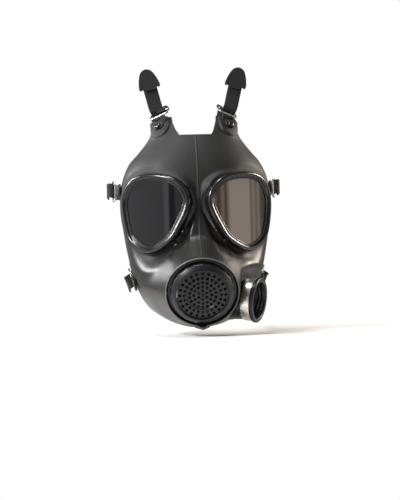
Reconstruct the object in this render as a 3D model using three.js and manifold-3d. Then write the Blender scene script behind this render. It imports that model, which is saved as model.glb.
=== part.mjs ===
import * as THREE from "three";
import { mergeVertices } from "three/addons/utils/BufferGeometryUtils.js";
import Module from "manifold-3d";

// Full-face rubber mask with two lenses, an exhale valve, a side filter port and a six-strap harness.
// Millimetres, +Z up, the face looks along -Y, the wearer's left is +X. The origin is the middle of
// the head at the height of the eyes.

const GAP = 0.3;

// Facepiece shell, one row for each cross section from the strap horns down to the throat.
const WALL = 2.4;
const SECTION_POWER = 2.4;
const FACE_COLUMNS = 22;
const FACE_ROWS = 25;
const sections = [
  { midY: -45, midZ: 107, edgeX: 47, edgeY: -44, edgeZ: 98, turn: 42 },
  { midY: -54, midZ: 101, edgeX: 46.8, edgeY: -46.5, edgeZ: 92.5, turn: 46 },
  { midY: -63, midZ: 94, edgeX: 46.5, edgeY: -48, edgeZ: 87, turn: 52 },
  { midY: -73, midZ: 82, edgeX: 51, edgeY: -46, edgeZ: 78, turn: 62 },
  { midY: -82, midZ: 69, edgeX: 61, edgeY: -39, edgeZ: 66, turn: 74 },
  { midY: -89, midZ: 56, edgeX: 70.6, edgeY: -30, edgeZ: 55.7, turn: 84 },
  { midY: -94, midZ: 43, edgeX: 77, edgeY: -25, edgeZ: 42, turn: 90 },
  { midY: -97, midZ: 29, edgeX: 80.5, edgeY: -20, edgeZ: 28, turn: 90 },
  { midY: -99, midZ: 14, edgeX: 81.5, edgeY: -20, edgeZ: 14, turn: 90 },
  { midY: -100, midZ: 0, edgeX: 81, edgeY: -22, edgeZ: 0, turn: 90 },
  { midY: -103, midZ: -14, edgeX: 79, edgeY: -24, edgeZ: -14, turn: 90 },
  { midY: -107, midZ: -28, edgeX: 77, edgeY: -23, edgeZ: -28, turn: 90 },
  { midY: -111, midZ: -42, edgeX: 74.5, edgeY: -22, edgeZ: -42, turn: 90 },
  { midY: -114, midZ: -56, edgeX: 71.5, edgeY: -23, edgeZ: -56, turn: 90 },
  { midY: -115, midZ: -70, edgeX: 67.5, edgeY: -27, edgeZ: -70, turn: 90 },
  { midY: -113, midZ: -84, edgeX: 62.5, edgeY: -33, edgeZ: -84, turn: 90 },
  { midY: -107, midZ: -98, edgeX: 53.5, edgeY: -41, edgeZ: -98, turn: 88 },
  { midY: -98, midZ: -109, edgeX: 41, edgeY: -51, edgeZ: -107, turn: 86 },
  { midY: -85, midZ: -116, edgeX: 30, edgeY: -56, edgeZ: -112.5, turn: 84 },
  { midY: -70, midZ: -118.5, edgeX: 18, edgeY: -60, edgeZ: -116.5, turn: 82 },
];

// Forehead notch between the horns, in the front view.
const NOTCH_FLOOR = 82;
const notchSide = [
  { x: 16.5, z: NOTCH_FLOOR },
  { x: 20.5, z: 90 },
  { x: 23.5, z: 99 },
  { x: 24.5, z: 125 },
];

// Nose: the ridge is left standing between two valleys that run down and outwards.
const valley = {
  topX: 6, topZ: 5, topDepth: 5, topWidth: 4,
  lowX: 31, lowZ: -43, lowDepth: 8, lowWidth: 8,
};

// Lens seats: a cylinder about an upright axis, its chord turned outwards.
const LENS_TURN = 38;
const LENS_X = 44;
const LENS_Y = -80;
const LENS_CHORD = 81.2;
const LENS_SAG = 6;
const LENS_THICK = 2.2;
const lensOutline = [
  { s: 1.6, z: 36 },
  { s: -27.3, z: 30 },
  { s: -39, z: 13.5 },
  { s: -28.4, z: -11.6 },
  { s: -19.4, z: -23.5 },
  { s: 4.2, z: -34 },
  { s: 20.6, z: -28.8 },
  { s: 30, z: -20 },
  { s: 37.3, z: 12 },
  { s: 33.5, z: 23 },
  { s: 24, z: 32.3 },
];
const LENS_STATIONS = 16;
const SEAT_DROP = 3;
const SEAT_FLAT = 8;
const SEAT_FADE = 22;
const RIM_WIDTH = 7;
const RIM_STEPS = 36;
// Rim section: out is away from the lens, up is away from the face.
const rimSection = [
  { out: RIM_WIDTH, up: -6 },
  { out: RIM_WIDTH, up: 2.4 },
  { out: RIM_WIDTH - 2.4, up: 5 },
  { out: 1.2, up: 4 },
  { out: -0.8, up: GAP },
  { out: 1.4, up: GAP },
  { out: 1.4, up: -6 },
];

// Exhale valve on the snout, turned about an axis that looks down.
const VALVE_TILT = 22.5;
const VALVE_Y = -122;
const VALVE_Z = -81.5;
const COLLAR_R = 39.3;
const COLLAR_WALL = 1.6;
const COLLAR_DEEP = 12;
const FLARE_SLOPE = 2;
const FLARE_FILLET = 7;
const FLARE_FADE = [52, 75];
const FLANGE_R = 37.4;
const CUP_R = 33;
const CUP_TOP = 9;
const GRILLE_R = 27;
const GRILLE_THICK = 1.6;
const GRILLE_DOME = 2.2;
const GRILLE_Z = 5.2;
const HOLE_R = 1.3;
const HOLE_SIDES = 5;
const holeRings = [
  { r: 0, count: 1 },
  { r: 4.6, count: 6 },
  { r: 9.2, count: 12 },
  { r: 13.9, count: 18 },
  { r: 18.6, count: 24 },
  { r: 23.6, count: 24 },
];
const VALVE_SIDES = 32;

// Filter port on the left cheek. Heights run along its axis, 0 at the mouth.
const PORT_MOUTH = new THREE.Vector3(61.5, -93, -93);
const PORT_AXIS = new THREE.Vector3(0.905, -0.403, -0.132).normalize();
const PORT_FLANGE_R = 23.75;
const PORT_FLANGE = 4;
const PORT_TUBE_R = 20.2;
const PORT_BORE_R = 18.4;
const PORT_ROOT_R = 19.2;
const PORT_DEEP = 17;
const THREAD_PITCH = 4;
const THREAD_TURNS = 3;
const NECK_R = 21.6;
const NECK_LENGTH = 34;
const NECK_FLARE = 6;
const BAND_R = 22.6;
const BAND_WIDTH = 9.2;
const BAND_START = 0.6;
const BAND_REAR = -PORT_FLANGE - BAND_START - BAND_WIDTH;
const BAND_ROOM = 1.6;
const PORT_SEAT_DROP = 15.4;
const PORT_SEAT_FADE = [24.5, 31];
const PORT_SIDES = 22;

// Harness
const HEAD = new THREE.Vector3(82, 101, 114);
const HEAD_Z = 10;
const PAD_THICK = 2;
const PAD_WIDE = 44;
const PAD_HIGH = 36;
const PAD_POWER = 4;
const PAD_Z = 20;
const WEBBING = 15;
const WEB_THICK = 1.6;
const WIRE_R = 1;
const WIRE_SIDES = 5;
const LOOP_CORNER = 2.6;
const CORNER_STEPS = 1;
const LOOP_WIDE = 20;
const LOOP_LONG = 12;
const TAB_WIDE = 13;
const TAB_THICK = 2;
const TAB_STEPS = 8;
const TAB_LIFT = 1.2;
const TAB_END_GAP = 0.8;
const TAB_STRAIGHT = 2.5;
const STRAP_STEPS = 24;
const STUD_R = 3.6;
const STUD_HIGH = 2.4;
const STUD_SIDES = 12;
const TIP_THICK = 4.6;
const NUB_WIDE = 13;
const NUB_LONG = 7.5;
const NUB_Z = -117;

// Strap ends on the wearer's left. bar is the wire at the tab, back runs from it to the rear wire, out
// looks away from the head, root is where the tab starts on the facepiece, end lies on the head pad,
// and tail is the free end beyond the loop.
const anchors = {
  top: {
    bar: [37.3, -50, 105.8], back: [-0.15, 0.88, 0.44], out: [0.46, -0.33, 0.815],
    root: [[0.735, 0.115], [0.74, 0.065], [0.745, 0.035]], end: [20, 44],
    tail: [
      { at: [39.6, -44, 113], face: [0, 1, -0.1] },
      { at: [43.4, -41.5, 127], face: [0, 1, -0.05] },
      { at: [46, -40.6, 137.2], face: [0, 1, 0] },
    ],
  },
  temple: {
    bar: [86, -13, 28], back: [0.22, 0.975, 0], out: [0.975, -0.22, 0],
    root: [[0.88, 0.368], [0.93, 0.368], [0.985, 0.368]], end: [30, 20],
    tail: [
      { at: [92, -7, 28], face: [0.3, 1, 0] },
      { at: [94.6, 2, 26.5], face: [-0.9, 0.5, 0] },
      { at: [93.6, 13, 23], face: [-1, -0.1, 0] },
    ],
  },
  jaw: {
    bar: [69.5, -17, -70], back: [0.12, 0.92, 0.36], out: [0.93, -0.05, -0.35],
    root: [[0.87, 0.752], [0.925, 0.745], [0.98, 0.738]], end: [28, -4],
    tail: [
      { at: [74, -12.5, -71], face: [0.3, 1, 0.2] },
      { at: [75.8, -4, -73], face: [-0.9, 0.5, 0.2] },
      { at: [74, 6, -76], face: [-1, -0.1, 0.1] },
    ],
  },
};

const wasm = await Module();
wasm.setup();

const radians = THREE.MathUtils.degToRad;
const smooth = THREE.MathUtils.smoothstep;
const vec = (x, y, z) => new THREE.Vector3(x, y, z);

// The skin alone, with shared corners.
function skinOf(geometry) {
  const bare = geometry.clone();
  bare.deleteAttribute("normal");
  bare.deleteAttribute("uv");
  return mergeVertices(bare, 1e-4);
}

function solidOf(geometry) {
  const merged = skinOf(geometry);
  return new wasm.Manifold(
    new wasm.Mesh({
      numProp: 3,
      vertProperties: new Float32Array(merged.attributes.position.array),
      triVerts: new Uint32Array(merged.index.array),
    }),
  );
}

function geometryOf(solid) {
  const mesh = solid.getMesh();
  const geometry = new THREE.BufferGeometry();
  geometry.setAttribute("position", new THREE.BufferAttribute(mesh.vertProperties, 3));
  geometry.setIndex(new THREE.BufferAttribute(mesh.triVerts, 1));
  return geometry;
}

// Gives a closed skin the winding that faces outwards.
function facingOut(geometry) {
  const p = geometry.attributes.position;
  const index = geometry.index.array;
  const [a, b, c] = [vec(0, 0, 0), vec(0, 0, 0), vec(0, 0, 0)];
  let volume = 0;
  for (let i = 0; i < index.length; i += 3) {
    a.fromBufferAttribute(p, index[i]);
    b.fromBufferAttribute(p, index[i + 1]);
    c.fromBufferAttribute(p, index[i + 2]);
    volume += a.dot(b.cross(c));
  }
  if (volume > 0) return geometry;
  for (let i = 0; i < index.length; i += 3) {
    [index[i], index[i + 1]] = [index[i + 1], index[i]];
  }
  return geometry;
}

// Closed skin over rings of equal length. The last ring joins the first, or flat lids close both ends.
function loft(rings, joined) {
  const count = rings[0].length;
  const positions = rings.flat().flatMap((p) => [p.x, p.y, p.z]);
  const index = [];
  const last = joined ? rings.length : rings.length - 1;
  for (let i = 0; i < last; i++) {
    const next = (i + 1) % rings.length;
    for (let j = 0; j < count; j++) {
      const side = (j + 1) % count;
      const [a, b, c, d] = [i * count + j, i * count + side, next * count + side, next * count + j];
      index.push(a, b, c, a, c, d);
    }
  }
  if (!joined) {
    const end = (rings.length - 1) * count;
    for (let j = 1; j < count - 1; j++) {
      index.push(0, j + 1, j);
      index.push(end, end + j, end + j + 1);
    }
  }
  const geometry = new THREE.BufferGeometry();
  geometry.setAttribute("position", new THREE.Float32BufferAttribute(positions, 3));
  geometry.setIndex(index);
  return facingOut(geometry);
}

// Band with a rectangular section along a smooth route. Each station has its place and the direction
// that the outer face of the band looks in.
function ribbon(stations, width, thickness, steps) {
  const route = new THREE.CatmullRomCurve3(stations.map((q) => q.at), false, "centripetal");
  const facing = new THREE.CatmullRomCurve3(stations.map((q) => q.face.clone().normalize()));
  const rings = [];
  for (let i = 0; i <= steps; i++) {
    const t = route.getUtoTmapping(i / steps);
    const along = route.getTangent(t);
    const wide = new THREE.Vector3().crossVectors(along, facing.getPoint(t)).normalize();
    const face = new THREE.Vector3().crossVectors(wide, along);
    const corner = (w, f) =>
      route.getPoint(t).addScaledVector(wide, (w * width) / 2).addScaledVector(face, (f * thickness) / 2);
    rings.push([corner(-1, -1), corner(1, -1), corner(1, 1), corner(-1, 1)]);
  }
  return loft(rings, false);
}

// Ring of wire or moulding round a closed route. lift gives the direction away from its plane.
function hoop(points, lifts, section) {
  const count = points.length;
  const rings = points.map((place, i) => {
    const along = points[(i + 1) % count].clone().sub(points[(i + count - 1) % count]).normalize();
    const up = lifts[i];
    const out = new THREE.Vector3().crossVectors(along, up).normalize();
    return section.map((q) => place.clone().addScaledVector(out, q.out).addScaledVector(up, q.up));
  });
  return loft(rings, true);
}

// Turned solid about the z axis, its profile a closed loop of r and h.
function turned(profile, sides) {
  const points = profile.map((p) => new THREE.Vector2(p.r, p.h));
  points.push(points[0].clone());
  const geometry = new THREE.LatheGeometry(points, sides);
  geometry.rotateX(Math.PI / 2);
  return geometry;
}

function discHull(radius, low, high, sides) {
  const geometry = new THREE.CylinderGeometry(radius, radius, high - low, sides);
  geometry.rotateX(Math.PI / 2);
  geometry.translate(0, 0, (low + high) / 2);
  return geometry;
}

// Turns a shape built about +z so that +z lies along axis, then moves it to place.
function aimed(geometry, place, axis) {
  const turn = new THREE.Quaternion().setFromUnitVectors(vec(0, 0, 1), axis);
  geometry.applyQuaternion(turn);
  geometry.translate(place.x, place.y, place.z);
  return geometry;
}

// The same piece on the wearer's right.
function flip(geometry) {
  const other = skinOf(geometry);
  other.scale(-1, 1, 1);
  return facingOut(other);
}

// Facepiece surface: u runs from -1 at the right rear edge to 1 at the left one, v from 0 at the horns
// to 1 at the throat.
const midLine = new THREE.CatmullRomCurve3(
  sections.map((row) => vec(row.turn, row.midY, row.midZ)), false, "catmullrom", 0.5);
const rearEdge = new THREE.CatmullRomCurve3(
  sections.map((row) => vec(row.edgeX, row.edgeY, row.edgeZ)), false, "catmullrom", 0.5);

function bareFace(u, v) {
  const mid = midLine.getPoint(v);
  const edge = rearEdge.getPoint(v);
  const turn = radians(Math.min(mid.x, 90));
  const a = Math.abs(u) * turn;
  const power = 2 / SECTION_POWER;
  const x = (edge.x * Math.sin(a) ** power) / Math.sin(turn) ** power;
  const k = (1 - Math.max(Math.cos(a), 0) ** power) / (1 - Math.max(Math.cos(turn), 0) ** power);
  return vec(Math.sign(u) * x, mid.y + (edge.y - mid.y) * k, mid.z + (edge.z - mid.z) * k);
}

function cutValleys(p) {
  const run = vec(valley.lowX - valley.topX, 0, valley.lowZ - valley.topZ);
  const from = vec(Math.abs(p.x) - valley.topX, 0, p.z - valley.topZ);
  const t = THREE.MathUtils.clamp(from.dot(run) / run.lengthSq(), 0, 1);
  const away = from.distanceTo(run.clone().multiplyScalar(t));
  const width = THREE.MathUtils.lerp(valley.topWidth, valley.lowWidth, t);
  const depth = THREE.MathUtils.lerp(valley.topDepth, valley.lowDepth, t);
  p.y += depth * Math.exp(-((away / width) ** 2));
}

const valveAxis = vec(0, -Math.cos(radians(VALVE_TILT)), -Math.sin(radians(VALVE_TILT)));
const valvePlace = vec(0, VALVE_Y, VALVE_Z);

function raiseSnout(p) {
  const from = p.clone().sub(valvePlace);
  const height = from.dot(valveAxis);
  const r = from.addScaledVector(valveAxis, -height).length();
  const cone = r < COLLAR_R ? 0 : -(r - COLLAR_R) * FLARE_SLOPE;
  const joined = (height + cone + Math.hypot(height - cone, FLARE_FILLET)) / 2;
  const share = 1 - smooth(r, FLARE_FADE[0], FLARE_FADE[1]);
  p.addScaledVector(valveAxis, (Math.min(joined, 2) - height) * share);
}

const lensAlong = vec(Math.cos(radians(LENS_TURN)), Math.sin(radians(LENS_TURN)), 0);
const lensOut = vec(Math.sin(radians(LENS_TURN)), -Math.cos(radians(LENS_TURN)), 0);
const lensPlace = vec(LENS_X, LENS_Y, 0);
const lensBulge = (s) => LENS_SAG * (1 - ((2 * s) / LENS_CHORD) ** 2);
const lensCurve = new THREE.CatmullRomCurve3(
  lensOutline.map((q) => vec(q.s, q.z, 0)), true, "centripetal");
const lensEdge = lensCurve.getSpacedPoints(RIM_STEPS).slice(0, RIM_STEPS);

function lensDistance(s, z) {
  let inside = false;
  let best = Infinity;
  lensEdge.forEach((a, i) => {
    const b = lensEdge[(i + 1) % lensEdge.length];
    const [dx, dz] = [b.x - a.x, b.y - a.y];
    const t = THREE.MathUtils.clamp(((s - a.x) * dx + (z - a.y) * dz) / (dx * dx + dz * dz), 0, 1);
    best = Math.min(best, Math.hypot(s - a.x - t * dx, z - a.y - t * dz));
    if (a.y > z !== b.y > z && s < a.x + ((z - a.y) / dz) * dx) inside = !inside;
  });
  return inside ? -best : best;
}

function seatLens(p) {
  const side = Math.sign(p.x) || 1;
  const from = vec(Math.abs(p.x), p.y, p.z).sub(lensPlace);
  const s = from.dot(lensAlong);
  const rise = lensBulge(s) - SEAT_DROP - from.dot(lensOut);
  const share = (1 - smooth(lensDistance(s, p.z), SEAT_FLAT, SEAT_FADE)) * smooth(Math.abs(p.x), 1, 9);
  p.x += side * lensOut.x * rise * share;
  p.y += lensOut.y * rise * share;
}

// Flat seat for the filter port, no higher than the rear of its clamp band.
function seatPort(p) {
  const from = p.clone().sub(PORT_MOUTH);
  const height = from.dot(PORT_AXIS);
  const r = from.addScaledVector(PORT_AXIS, -height).length();
  const share = 1 - smooth(r, PORT_SEAT_FADE[0], PORT_SEAT_FADE[1]);
  p.addScaledVector(PORT_AXIS, Math.min(-PORT_SEAT_DROP - height, 0) * share);
}

function facePoint(u, v) {
  const p = bareFace(u, v);
  cutValleys(p);
  raiseSnout(p);
  seatPort(p);
  seatLens(p);
  return p;
}

const STEP = 1e-3;
function faceNormal(u, v) {
  const across = facePoint(Math.min(u + STEP, 1), v).sub(facePoint(Math.max(u - STEP, -1), v));
  const down = facePoint(u, Math.min(v + STEP, 1)).sub(facePoint(u, Math.max(v - STEP, 0)));
  return across.cross(down).normalize().negate();
}

// Place and outward direction on the facepiece at a point of the front view.
function faceAt(x, z) {
  let best = { u: 0, v: 0 };
  let span = 1;
  for (let round = 0; round < 5; round++) {
    const { u, v } = best;
    let near = Infinity;
    for (let i = -10; i <= 10; i++) {
      for (let j = -10; j <= 10; j++) {
        const tryU = THREE.MathUtils.clamp(u + (i * span) / 10, -1, 1);
        const tryV = THREE.MathUtils.clamp(v + (j * span) / 10, 0, 1);
        const p = facePoint(tryU, tryV);
        const far = Math.hypot(p.x - x, p.z - z);
        if (far < near) {
          near = far;
          best = { u: tryU, v: tryV };
        }
      }
    }
    span /= 5;
  }
  return { place: facePoint(best.u, best.v), out: faceNormal(best.u, best.v) };
}

function faceShell() {
  const rings = [];
  for (let i = 0; i <= FACE_ROWS; i++) {
    const v = i / FACE_ROWS;
    const outer = [];
    const inner = [];
    for (let j = 0; j <= FACE_COLUMNS; j++) {
      const u = -1 + (2 * j) / FACE_COLUMNS;
      const p = facePoint(u, v);
      outer.push(p);
      inner.push(p.clone().addScaledVector(faceNormal(u, v), -WALL));
    }
    rings.push([...outer, ...inner.reverse()]);
  }
  return rings;
}

// Thin closed shell from rings that hold an outer row and then an inner row back.
function shell(rings) {
  const count = rings[0].length;
  const half = count / 2;
  const walls = (rings.length - 1) * count;
  const geometry = loft(rings, false);
  const index = Array.from(geometry.index.array.slice(0, walls * 6));
  const turned = index[1] === 1;
  const lid = (p, q, r) => index.push(...(turned ? [p, r, q] : [p, q, r]));
  for (let j = 0; j < half - 1; j++) {
    const [a, b, c, d] = [j, j + 1, count - 2 - j, count - 1 - j];
    lid(a, b, c);
    lid(a, c, d);
    const end = (rings.length - 1) * count;
    lid(end + a, end + c, end + b);
    lid(end + a, end + d, end + c);
  }
  geometry.setIndex(index);
  return geometry;
}

// Facepiece: shell with collar and port neck joined on, then the notch and the holes cut.
function notchCutter() {
  const outline = new THREE.Shape();
  outline.moveTo(-notchSide.at(-1).x, notchSide.at(-1).z);
  [...notchSide].reverse().forEach((q) => outline.lineTo(-q.x, q.z));
  notchSide.forEach((q) => outline.lineTo(q.x, q.z));
  const geometry = new THREE.ExtrudeGeometry(outline, { depth: 160, bevelEnabled: false });
  geometry.rotateX(Math.PI / 2);
  return geometry;
}

// Plug through the wall at a lens, margin wider than the lens all round.
function lensPlug(margin) {
  const ring = (depth) =>
    lensEdge.map((q, i) => {
      const before = lensEdge[(i + RIM_STEPS - 1) % RIM_STEPS];
      const after = lensEdge[(i + 1) % RIM_STEPS];
      const away = vec(after.y - before.y, before.x - after.x, 0).normalize();
      const s = q.x + away.x * margin;
      const z = q.y + away.y * margin;
      return lensPlace.clone().addScaledVector(lensAlong, s).addScaledVector(lensOut, depth).setZ(z);
    });
  return loft([ring(-40), ring(40)], false);
}

function collarTube() {
  const wall = [
    { r: COLLAR_R - COLLAR_WALL, h: -COLLAR_DEEP },
    { r: COLLAR_R, h: -COLLAR_DEEP },
    { r: COLLAR_R, h: 0 },
    { r: COLLAR_R - COLLAR_WALL, h: 0 },
  ];
  return aimed(turned(wall, VALVE_SIDES), valvePlace, valveAxis);
}

function portNeck() {
  const neck = [
    { r: 0, h: -NECK_LENGTH },
    { r: NECK_R + NECK_FLARE, h: -NECK_LENGTH },
    { r: NECK_R + NECK_FLARE / 4, h: -NECK_LENGTH * 0.72 },
    { r: NECK_R, h: -PORT_FLANGE - BAND_WIDTH - 3 },
    { r: NECK_R, h: -PORT_FLANGE - GAP },
    { r: 0, h: -PORT_FLANGE - GAP },
  ];
  return aimed(turned(neck, PORT_SIDES), PORT_MOUTH, PORT_AXIS);
}

// Solid filling of the head side, which trims what is joined on from outside.
function faceInside() {
  const rings = [];
  for (let i = 0; i <= FACE_ROWS; i++) {
    const ring = [];
    for (let j = 0; j <= FACE_COLUMNS; j++) {
      const [u, v] = [-1 + (2 * j) / FACE_COLUMNS, i / FACE_ROWS];
      ring.push(facePoint(u, v).addScaledVector(faceNormal(u, v), -WALL));
    }
    ring.push(ring.at(-1).clone().setY(-10), ring[0].clone().setY(-10));
    rings.push(ring);
  }
  return loft(rings, false);
}

function chinNub() {
  const { place, out } = faceAt(0, NUB_Z);
  const nub = new THREE.ConeGeometry(NUB_WIDE / 2, NUB_LONG, 4);
  nub.rotateX(Math.PI / 2);
  nub.rotateZ(Math.PI / 4);
  nub.scale(1, 0.5, 1);
  nub.translate(0, 0, NUB_LONG / 2 - 2);
  return aimed(nub, place, out);
}

function facepiece() {
  const inside = solidOf(faceInside());
  const neck = solidOf(portNeck()).subtract(inside);
  const bore = aimed(discHull(PORT_TUBE_R + GAP, -2 * NECK_LENGTH, 5, PORT_SIDES), PORT_MOUTH, PORT_AXIS);
  const valveBore = aimed(discHull(COLLAR_R - COLLAR_WALL, -30, 30, VALVE_SIDES), valvePlace, valveAxis);
  const seat = lensPlug(RIM_WIDTH + GAP);
  const room = aimed(discHull(BAND_R + BAND_ROOM, BAND_REAR - 2 * GAP, 9, PORT_SIDES), PORT_MOUTH, PORT_AXIS);
  const solid = solidOf(shell(faceShell()))
    .subtract(solidOf(room))
    .add(solidOf(collarTube()))
    .add(neck)
    .add(solidOf(chinNub()))
    .subtract(solidOf(notchCutter()))
    .subtract(solidOf(bore))
    .subtract(solidOf(valveBore))
    .subtract(solidOf(seat))
    .subtract(solidOf(flip(seat)));
  const main = solid.decompose().sort((a, b) => b.volume() - a.volume())[0];
  return geometryOf(main);
}

// Lens: bent sheet in upright strips. Rim: moulding round it with a lip in front of its edge.
function lensSpan(s) {
  const heights = [];
  lensEdge.forEach((a, i) => {
    const b = lensEdge[(i + 1) % RIM_STEPS];
    if (a.x > s !== b.x > s) heights.push(a.y + ((s - a.x) / (b.x - a.x)) * (b.y - a.y));
  });
  return [Math.min(...heights), Math.max(...heights)];
}

const onLens = (s, z, depth) =>
  lensPlace.clone().addScaledVector(lensAlong, s).addScaledVector(lensOut, lensBulge(s) + depth).setZ(z);

function lens() {
  const all = lensEdge.map((q) => q.x);
  const [low, high] = [Math.min(...all), Math.max(...all)];
  const rings = [];
  for (let i = 0; i <= LENS_STATIONS; i++) {
    const t = (1 - Math.cos((Math.PI * (i + 0.25)) / (LENS_STATIONS + 0.5))) / 2;
    const s = low + (high - low) * t;
    const [floor, top] = lensSpan(s);
    rings.push([
      onLens(s, floor, 0),
      onLens(s, top, 0),
      onLens(s, top, -LENS_THICK),
      onLens(s, floor, -LENS_THICK),
    ]);
  }
  return loft(rings, false);
}

function eyeRim() {
  const places = lensEdge.map((q) => onLens(q.x, q.y, 0));
  const lifts = lensEdge.map((q) => {
    const slope = (-8 * LENS_SAG * q.x) / LENS_CHORD ** 2;
    return lensOut.clone().addScaledVector(lensAlong, -slope).normalize();
  });
  return hoop(places, lifts, rimSection);
}

// Exhale valve, three turned pieces about one axis. Heights run forward from the collar's lip.
function valveFlange() {
  const profile = [
    { r: CUP_R - 4, h: -9 },
    { r: FLANGE_R, h: -9 },
    { r: FLANGE_R, h: -0.8 },
    { r: FLANGE_R - 1.4, h: 0.6 },
    { r: CUP_R - 0.6, h: 0.6 },
    { r: CUP_R - 0.6, h: -2 },
    { r: CUP_R - 4, h: -2 },
  ];
  return aimed(turned(profile, VALVE_SIDES), valvePlace, valveAxis);
}

function valveCup() {
  const profile = [
    { r: GRILLE_R + GAP, h: -2 + GAP },
    { r: CUP_R - 0.6 - GAP, h: -2 + GAP },
    { r: CUP_R - 0.6 - GAP, h: 0.6 + GAP },
    { r: CUP_R, h: 0.6 + 2 * GAP },
    { r: CUP_R, h: CUP_TOP - 1.5 },
    { r: CUP_R - 1.5, h: CUP_TOP },
    { r: GRILLE_R + 2.2, h: CUP_TOP },
    { r: GRILLE_R + GAP, h: CUP_TOP - 1.6 },
  ];
  return aimed(turned(profile, VALVE_SIDES), valvePlace, valveAxis);
}

function valveGrille() {
  const disc = new THREE.Shape();
  disc.absarc(0, 0, GRILLE_R, 0, 2 * Math.PI);
  holeRings.forEach(({ r, count }) => {
    for (let i = 0; i < count; i++) {
      const turn = (2 * Math.PI * i) / count;
      const hole = new THREE.Path();
      for (let k = 0; k < HOLE_SIDES; k++) {
        const corner = turn + (2 * Math.PI * (k + 0.3)) / HOLE_SIDES;
        const [x, y] = [r * Math.cos(turn), r * Math.sin(turn)];
        const point = [x + HOLE_R * Math.cos(corner), y + HOLE_R * Math.sin(corner)];
        if (k === 0) hole.moveTo(...point);
        else hole.lineTo(...point);
      }
      disc.holes.push(hole);
    }
  });
  const geometry = new THREE.ExtrudeGeometry(disc, {
    depth: GRILLE_THICK, bevelEnabled: false, curveSegments: VALVE_SIDES / 2,
  });
  const p = geometry.attributes.position;
  for (let i = 0; i < p.count; i++) {
    const rise = GRILLE_DOME * (1 - (p.getX(i) ** 2 + p.getY(i) ** 2) / GRILLE_R ** 2);
    p.setZ(i, p.getZ(i) + rise + GRILLE_Z);
  }
  return aimed(geometry, valvePlace, valveAxis);
}

// Filter port: threaded socket pushed into the neck, steel band round the neck.
function portSocket() {
  const profile = [
    { r: PORT_TUBE_R, h: -PORT_FLANGE },
    { r: PORT_FLANGE_R - 0.8, h: -PORT_FLANGE },
    { r: PORT_FLANGE_R, h: -PORT_FLANGE + 0.8 },
    { r: PORT_FLANGE_R, h: -0.8 },
    { r: PORT_FLANGE_R - 0.8, h: 0 },
    { r: PORT_ROOT_R + 1, h: 0 },
    { r: PORT_ROOT_R, h: -1 },
  ];
  for (let i = 0; i < THREAD_TURNS; i++) {
    const start = -1.5 - i * THREAD_PITCH;
    profile.push({ r: PORT_ROOT_R, h: start });
    profile.push({ r: PORT_BORE_R, h: start - THREAD_PITCH * 0.4 });
    profile.push({ r: PORT_ROOT_R, h: start - THREAD_PITCH * 0.8 });
  }
  profile.push({ r: PORT_BORE_R, h: -PORT_DEEP + 2 });
  profile.push({ r: PORT_BORE_R, h: -PORT_DEEP });
  profile.push({ r: PORT_TUBE_R, h: -PORT_DEEP });
  return aimed(turned(profile, PORT_SIDES), PORT_MOUTH, PORT_AXIS);
}

function clampBand() {
  const profile = [
    { r: NECK_R + GAP, h: BAND_REAR },
    { r: BAND_R, h: BAND_REAR },
    { r: BAND_R, h: -PORT_FLANGE - BAND_START },
    { r: NECK_R + GAP, h: -PORT_FLANGE - BAND_START },
  ];
  return aimed(turned(profile, PORT_SIDES), PORT_MOUTH, PORT_AXIS);
}

// Point on the head form, raised by lift.
function onHead(direction, lift) {
  const p = direction.clone().normalize();
  return vec(p.x * (HEAD.x + lift), p.y * (HEAD.y + lift), p.z * (HEAD.z + lift) + HEAD_Z);
}

const headSide = (place) => vec(place.x / HEAD.x ** 2, place.y / HEAD.y ** 2, (place.z - HEAD_Z) / HEAD.z ** 2);

// Route over the head between two points, as evenly turned steps of direction.
function overHead(from, to, lift, count) {
  const start = vec(from.x / HEAD.x, from.y / HEAD.y, (from.z - HEAD_Z) / HEAD.z).normalize();
  const end = vec(to.x / HEAD.x, to.y / HEAD.y, (to.z - HEAD_Z) / HEAD.z).normalize();
  const angle = start.angleTo(end);
  const route = [];
  for (let i = 0; i <= count; i++) {
    const t = i / count;
    const share = [Math.sin((1 - t) * angle), Math.sin(t * angle)];
    route.push(onHead(start.clone().multiplyScalar(share[0]).addScaledVector(end, share[1]), lift));
  }
  return route;
}

function headPad() {
  const rings = [];
  const rows = 8;
  const columns = 8;
  for (let i = 0; i <= rows; i++) {
    const outer = [];
    const inner = [];
    const y = -1 + (2 * (i + 0.3)) / (rows + 0.6);
    const reach = (1 - Math.abs(y) ** PAD_POWER) ** (1 / PAD_POWER);
    for (let j = 0; j <= columns; j++) {
      const x = (-1 + (2 * j) / columns) * reach * PAD_WIDE;
      const spot = vec(x / HEAD.x, Math.sqrt(1 - (x / HEAD.x) ** 2), (PAD_Z - HEAD_Z + y * PAD_HIGH) / HEAD.z);
      outer.push(onHead(spot, PAD_THICK));
      inner.push(onHead(spot, 0));
    }
    rings.push([...outer, ...inner.reverse()]);
  }
  return shell(rings);
}

// Rectangular wire loop with rounded corners. wide and high span its plane.
function wireLoop(centre, wide, high, width, height) {
  const normal = new THREE.Vector3().crossVectors(wide, high).normalize();
  const points = [];
  for (let q = 0; q < 4; q++) {
    const [sx, sy] = [[1, 1], [-1, 1], [-1, -1], [1, -1]][q];
    for (let k = 0; k <= CORNER_STEPS; k++) {
      const turn = (Math.PI / 2) * (q + k / CORNER_STEPS);
      const x = sx * (width / 2 - LOOP_CORNER) + LOOP_CORNER * Math.cos(turn);
      const y = sy * (height / 2 - LOOP_CORNER) + LOOP_CORNER * Math.sin(turn);
      points.push(centre.clone().addScaledVector(wide, x).addScaledVector(high, y));
    }
  }
  const section = [];
  for (let k = 0; k < WIRE_SIDES; k++) {
    const turn = (2 * Math.PI * k) / WIRE_SIDES;
    section.push({ out: WIRE_R * Math.cos(turn), up: WIRE_R * Math.sin(turn) });
  }
  return hoop(points, points.map(() => normal.clone()), section);
}

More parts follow.
